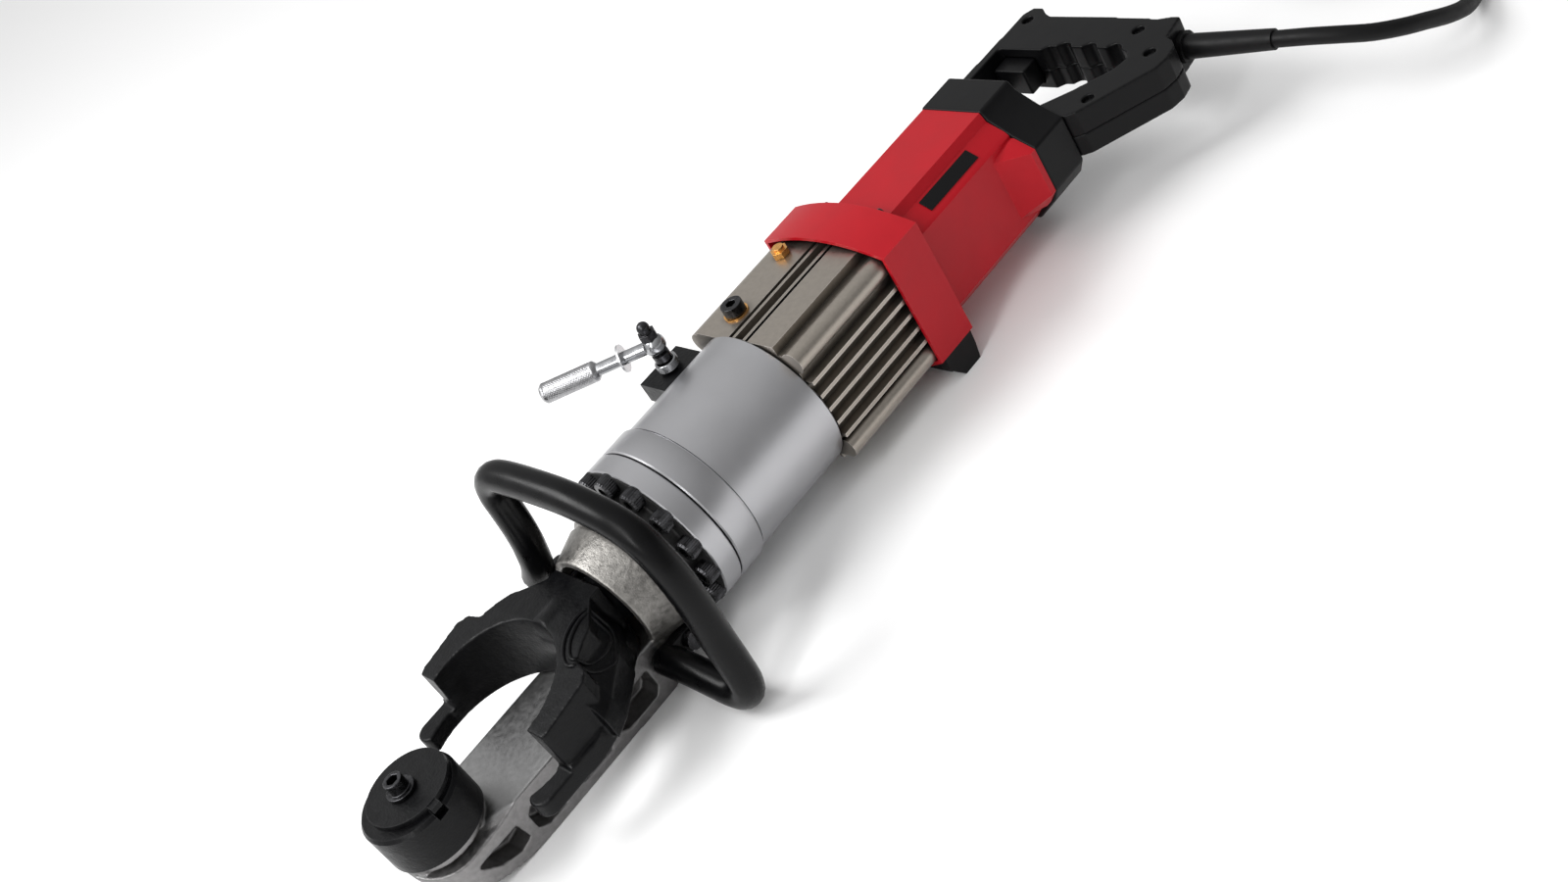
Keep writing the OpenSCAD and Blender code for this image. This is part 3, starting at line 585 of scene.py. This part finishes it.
def mains_lead():
    path = CORD_ROUTE[:-1] + coil_points() + TAIL_ROUTE
    points = catmull([tool(*p) for p in path], 4)
    for point in points:
        point.z = max(point.z, (CORD_RADIUS + 0.1) * MM)
    curve = bpy.data.curves.new("mains_lead", "CURVE")
    curve.dimensions = "3D"
    curve.bevel_depth = CORD_RADIUS * MM
    curve.bevel_resolution = 5
    curve.use_fill_caps = True
    spline = curve.splines.new("POLY")
    spline.points.add(len(points) - 1)
    for point, place in zip(spline.points, points):
        point.co = (*place, 1)
    spline.use_smooth = True
    lead = add("mains_lead", curve, "housing", "cord", RUBBER)
    stand_for(lead, "power_cord", "cord_coil", "cord_tail")


mains_lead()


# ---------------------------------------------------------------- bending head

X, Y, Z = (1, 0, 0), (0, 1, 0), (0, 0, 1)
# Radius of the flange and of the barrel's raised ring
STEP_R = 49.8


def lathe(name, profile, slot_name, material, steps=128):
    """A turned piece round the tool's axis, from (x, radius) points in millimetres."""
    work = bmesh.new()
    turned = [[tool(x, *polar(r, 360 * k / steps)) for x, r in profile] for k in range(steps)]
    skin(work, turned, closed=True)
    mesh = mesh_from(work, name)
    smooth_shade(mesh)
    return add(name, mesh, "housing", slot_name, material)


def cylinder_rings():
    """The frame's machined flange and the barrel with its raised ring, steps and grooves."""
    lathe("flange_ring", [
        (-107, 38), (-107, STEP_R - 0.8), (-106.2, STEP_R), (-94.2, STEP_R), (-93.4, STEP_R - 0.7),
        (-93.4, 40), (-105, 38),
    ], "frame", TURNED)
    barrel = lathe("barrel_skin", [
        (-92.4, 34), (-92.4, STEP_R - 0.7), (-91.6, STEP_R), (-75.2, STEP_R), (-74.3, STEP_R - 0.6),
        (-74.0, 47.0), (-72.9, 47.0), (-72.7, 48.0), (-1.2, 48.0), (0, 46.8), (0, 33), (-92.4, 32.6),
    ], "barrel", TURNED)
    stand_for(barrel, "cylinder_barrel")


def cap_screws():
    """Socket screws round the flange, their heads knurled."""
    count, screw_circle, head_front, head_rear = 14, 43.6, -115, -107
    head_r, socket_r, ridges, ridge = 6.5, 3.4, 30, 0.35
    sides = 6

    def ring(centre, x, radius, tooth=0.0, flats=False):
        out = []
        for k in range(2 * ridges):
            angle = math.pi * k / ridges
            r = radius - (tooth if k % 2 else 0)
            if flats:
                half = math.pi / sides
                r = radius * math.cos(half) / math.cos(angle % (2 * half) - half)
            out.append(tool(x, centre[0] + r * math.cos(angle), centre[1] + r * math.sin(angle)))
        return out

    work = bmesh.new()
    for n in range(count):
        z, y = polar(screw_circle, 360 * n / count)
        centre = (-y, z)
        rings = skin(work, [
            ring(centre, head_rear + 0.2, head_r, ridge), ring(centre, head_front + 1.2, head_r, ridge),
            ring(centre, head_front, head_r - 0.9), ring(centre, head_front, socket_r, flats=True),
            ring(centre, head_front + 4, socket_r, flats=True)])
        work.faces.new(rings[-1])
    mesh = mesh_from(work, "cap_screws")
    smooth_shade(mesh, 30)
    stand_for(add("cap_screws", mesh, "housing", SLOT_OF["flange_screws"], DARK), "flange_screws")


def cast_frame():
    """The frame without its flange, which is turned apart; the plate's corners fall away at the roller."""
    cuts = [block([(-60, -60), (60, -60), (60, 60), (-60, 60)], Y, Z, -107.4, 20)]
    for side in (1, -1):
        cuts.append(loft([
            [(x, side * y, -22.3), (x, side * 34, -22.3), (x, side * 34, -22.3 - drop)]
            for x, y, drop in ((-258, 29.5, 0.1), (-264, 25, 4.5), (-300, 11, 7), (-330, 5, 7))]))
    piece = casting("frame", cuts=cuts, voxel=0.75, rounds=3, materials=[CAST, COLLAR, PLATE, NECK_SHADE])
    repaint(piece, 1, lambda c, n: -154 < c.x < -126 and c.z > -34)
    repaint(piece, 2, lambda c, n: c.x < -140 and abs(c.z + 22.4) < 1.2 and n.z > 0.8)
    # the neck and the flange's front face get the near-black painted shade
    repaint(piece, 3, lambda c, n: -126.5 < c.x < -106)


def disc(x, radius, z, start=0, end=360):
    """A level ring of points for loft(), angles in degrees."""
    around = [polar(radius, a) for a in range(start, end + (end < 360), 5)]
    return [(x + a, b, z) for a, b in around]


def shoulder(side, trim):
    """Sloping shoulder from the fork's middle to one arm, whose plan widens towards the arm."""
    rings = []
    for x, reach, top in ((-160, 22, 13), (-168, 33, 16), (-176, 43, 17.5), (-186, 51, 18), (-198, 60, 17),
                          (-210, 66, 16)):
        edge = reach - (trim if x > -180 else 0)
        flat = 0.45 + 0.35 * (-160 - x) / 50
        rings.append([(x, side * 8, -14), (x, side * 8, top), (x, side * (8 + flat * (edge - 8)), top),
                      (x, side * edge, top - 19), (x, side * edge, -18), (x, side * 20, -20)])
    return loft(rings)


def forged_fork():
    """The fork: a recess that narrows upwards, arms that slope to blunt tips, and a rough rib behind."""
    floor_plan = disc(-240, 54, -21, -90, 90)
    fill = loft([floor_plan, [(x, y, 4.5) for x, y, z in floor_plan]])
    trim_front = block([(-300, -12), (-237.5, -12), (-237.5, 30), (-300, 30)], X, Z, -80, 160)
    recess = loft([disc(-241.8, 52.4, -30), disc(-228.3, 42, 30)])
    slope = block([(-245, 13), (-186, 20.2), (-186, 30), (-245, 30)], X, Z, -80, 160)
    cuts = [recess, trim_front, slope]
    # the arms' outer sides lean outwards
    lean = [(63, 30), (63, 14.5), (69, -9.5), (80, -9.5), (80, 30)]
    for side in (1, -1):
        cuts.append(block([(side * y, z) for y, z in lean], Y, Z, -245, 44))
    rib = [(y - 2, z + 15.5) for y, z in (ellipse(9.5, 6, a) for a in range(0, 360, 15))]
    extras = [fill, shoulder(1, 4), shoulder(-1, 0), block(rib, Y, Z, -187, 32)]
    return casting("bending_fork", extras=extras, cuts=cuts, voxel=0.8, rounds=5)


def oval_boss():
    """Two raised oval lines on the fork's rear shoulder, laid on its surface."""
    for k, (rx, ry) in enumerate(((19, 10), (15, 6))):
        points = []
        for a in range(0, 360, 12):
            along, across = ellipse(rx, ry, a)
            start = tool(-183 - along * 0.86 - across * 0.5, -36 - along * 0.5 + across * 0.86, 60)
            hit, place, *_ = FORK.ray_cast(start, Vector((0, 0, -1)))
            if hit:
                points.append(place + Vector((0, 0, 0.1 * MM)))
        tube(f"oval_line_{k}", points, 1.1 * MM, "fork_slide", SLOT_OF["bending_fork"], FORGING,
             cyclic=True, resolution=3)


def bail():
    """One bent tube from its lug on the collar to its lug on the arm's side."""
    roll = math.radians(45.8)
    route = [
        (38, -27), (39, -20), (41, -12), (45, -4), (50, 5), (58, 15), (67, 24), (74, 31), (77, 40),
        (74, 50), (66, 59), (56, 68), (44, 78), (32, 87), (18, 95), (4, 101), (-10, 103), (-24, 99),
        (-38, 91), (-52, 80), (-66, 67), (-80, 55), (-90, 45), (-93, 35), (-88, 26), (-78, 19),
        (-67, 12), (-57, 5), (-47, -3),
    ]
    points = []
    for a, b in route:
        y = a * math.cos(roll) - b * math.sin(roll)
        z = a * math.sin(roll) + b * math.cos(roll)
        points.append(tool(-154 + 0.1 * b, y, z))
    loop = tube("bail_tube", catmull(points, 4), 9 * MM, "housing", "bail", COAT)
    for name, low, high in (("front_lug", (-155.5, 34.5, -6.5), (-138.5, 42.5, 10.5)),
                            ("side_lug", (-162, -36, -43), (-130, -29, -29))):
        mesh = bpy.data.meshes.new(name)
        work = bmesh.new()
        bmesh.ops.create_cube(work, size=1)
        size = Vector(high) - Vector(low)
        middle = tool(*((Vector(low) + Vector(high)) / 2))
        bmesh.ops.scale(work, vec=size * MM, verts=work.verts)
        bmesh.ops.translate(work, vec=middle, verts=work.verts)
        through = [e for e in work.edges if abs((e.verts[0].co - e.verts[1].co).y) > 1e-4]
        bmesh.ops.bevel(work, geom=through, offset=6 * MM, segments=5, affect="EDGES", profile=0.5)
        bmesh.ops.bevel(work, geom=list(work.edges), offset=0.8 * MM, segments=2, affect="EDGES",
                        profile=0.5)
        work.to_mesh(mesh)
        work.free()
        smooth_shade(mesh)
        add(name, mesh, "housing", "bail", COAT)
    stand_for(loop, "bail_handle")


def return_spring():
    """The return spring as its node's own shape, smooth shaded, with a mesh of its own."""
    mesh = clean_copy("return_spring")
    smooth_shade(mesh, 70)
    spring = add("return_spring_wire", mesh, BODY_OF["return_spring"], SLOT_OF["return_spring"], STEEL)
    stand_for(spring, "return_spring")
    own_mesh(spring)


cylinder_rings()
return_spring()
cap_screws()
cast_frame()
FORK = forged_fork()
oval_boss()
bail()

# ---------------------------------------------------------------- release lever

LEVER_HUB = (-22, 44, 54.4)


def knurled_grip():
    """The lever's grip, with crossed ridges cut into it and plain ends."""
    hub = tool(*LEVER_HUB)
    along = Vector((-1, 1, 0)).normalized()
    side = along.cross(Vector((0, 0, 1)))
    radius, depth, around, ridges, pitch = 6.2, 0.42, 96, 12, 1.9
    # distance from the hub and radius, in millimetres
    stations = [(36, 4), (37.6, 5.9), (38.2, radius)]
    stations += [(38.6 + 0.33 * i, radius) for i in range(97)]
    stations += [(71, radius), (72.5, 5)]
    rings = []
    for x, r in stations:
        row = []
        for k in range(around):
            angle = 2 * math.pi * k / around
            cut = 0
            if 39.5 < x < 69.8:
                crossed = math.sin(ridges * angle + pitch * x) * math.sin(ridges * angle - pitch * x)
                cut = depth * (1 - abs(crossed) ** 0.5)
            offset = side * math.cos(angle) + Vector((0, 0, math.sin(angle)))
            row.append(hub + (along * x + offset * (r - cut)) * MM)
        rings.append(row)
    work = bmesh.new()
    made = skin(work, rings)
    work.faces.new(made[0])
    work.faces.new(made[-1])
    mesh = mesh_from(work, "knurled_grip")
    smooth_shade(mesh, 35)
    stand_for(add("knurled_grip", mesh, BODY_OF["lever_grip"], SLOT_OF["lever_grip"], KNURL), "lever_grip")


def coil_spring():
    """The lever's detent spring, as one smooth wire."""
    low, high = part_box("detent_spring")
    turns, steps, wire_r = 6, 16, 0.8
    middle = (low + high) / 2
    radius, rise = 6.2 * MM, high[2] - low[2] - 2 * wire_r * MM
    points = []
    for i in range(turns * steps + 1):
        angle = 2 * math.pi * i / steps
        points.append((middle.x + radius * math.cos(angle), middle.y + radius * math.sin(angle),
                       low[2] + wire_r * MM + rise * i / (turns * steps)))
    wire = tube("detent_wire", points, 0.85 * MM, BODY_OF["detent_spring"], SLOT_OF["detent_spring"], ZINC)
    stand_for(wire, "detent_spring")


knurled_grip()
coil_spring()

# ---------------------------------------------------------------- prismatic and turned pieces

# node, width of its eased edges in millimetres, segments across them
for node, width, segments in (
        ("forming_sleeve", 1.0, 3), ("roller_cap", 0.8, 3), ("roller_screw", 0.5, 3),
        ("valve_block", 0.8, 3), ("pump_housing", 0.7, 2), ("skirt", 0.9, 3), ("motor_shell", 1.0, 3),
        ("end_cap", 1.6, 3), ("acorn_nut", 0.4, 2), ("oil_plug", 0.5, 2), ("bleed_plug", 0.5, 2),
        ("rear_foot", 1.0, 2), ("trigger", 1.5, 3), ("label_plate", 0.5, 2)):
    eased(node, width, segments)
casting("handle_upper", voxel=0.8, rounds=8)
casting("handle_lower", voxel=0.8, rounds=8)

# ---------------------------------------------------------------- floor and light

floor_mesh = bpy.data.meshes.new("floor")
floor_mesh.from_pydata([(-6, -6, 0), (6, -6, 0), (6, 6, 0), (-6, 6, 0)], [], [(0, 1, 2, 3)])
floor = bpy.data.objects.new("floor", floor_mesh)
bpy.context.scene.collection.objects.link(floor)
floor_finish = Finish("floor_white", (0.95, 0.95, 0.95), 0.8)
floor.data.materials.append(floor_finish.material)


def studio_world(shade, bright, towards):
    """An even studio whose light is strongest towards one side."""
    world = bpy.data.worlds.new("studio")
    world.use_nodes = True
    nodes, links = world.node_tree.nodes, world.node_tree.links
    facing = nodes.new("ShaderNodeVectorMath")
    facing.operation = "DOT_PRODUCT"
    facing.inputs[1].default_value = Vector(towards).normalized()
    links.new(nodes.new("ShaderNodeTexCoord").outputs["Generated"], facing.inputs[0])
    level = nodes.new("ShaderNodeMapRange")
    for name, value in (("From Min", -0.2), ("From Max", 1.0), ("To Min", shade), ("To Max", bright)):
        level.inputs[name].default_value = value
    links.new(facing.outputs["Value"], level.inputs["Value"])
    nodes["Background"].inputs["Color"].default_value = (1, 1, 1, 1)
    links.new(level.outputs["Result"], nodes["Background"].inputs["Strength"])
    bpy.context.scene.world = world


bpy.context.scene.view_settings.view_transform = "Standard"
studio_world(0.3, 0.95, (-0.5, 0.3, 0.8))


def softbox(name, place, target, size, power):
    light = bpy.data.lights.new(name, "AREA")
    light.shape = "RECTANGLE"
    light.size = size[0]
    light.size_y = size[1]
    light.energy = power
    lamp = bpy.data.objects.new(name, light)
    lamp.location = place
    lamp.rotation_euler = (Vector(target) - Vector(place)).to_track_quat("-Z", "Y").to_euler()
    bpy.context.scene.collection.objects.link(lamp)


softbox("key", (-0.7, 0.75, 1.5), (0.2, 0, 0.05), (1.0, 0.7), 24)
softbox("strip", (-1.0, -0.5, 1.1), (0.1, 0, 0.05), (0.25, 1.2), 8)
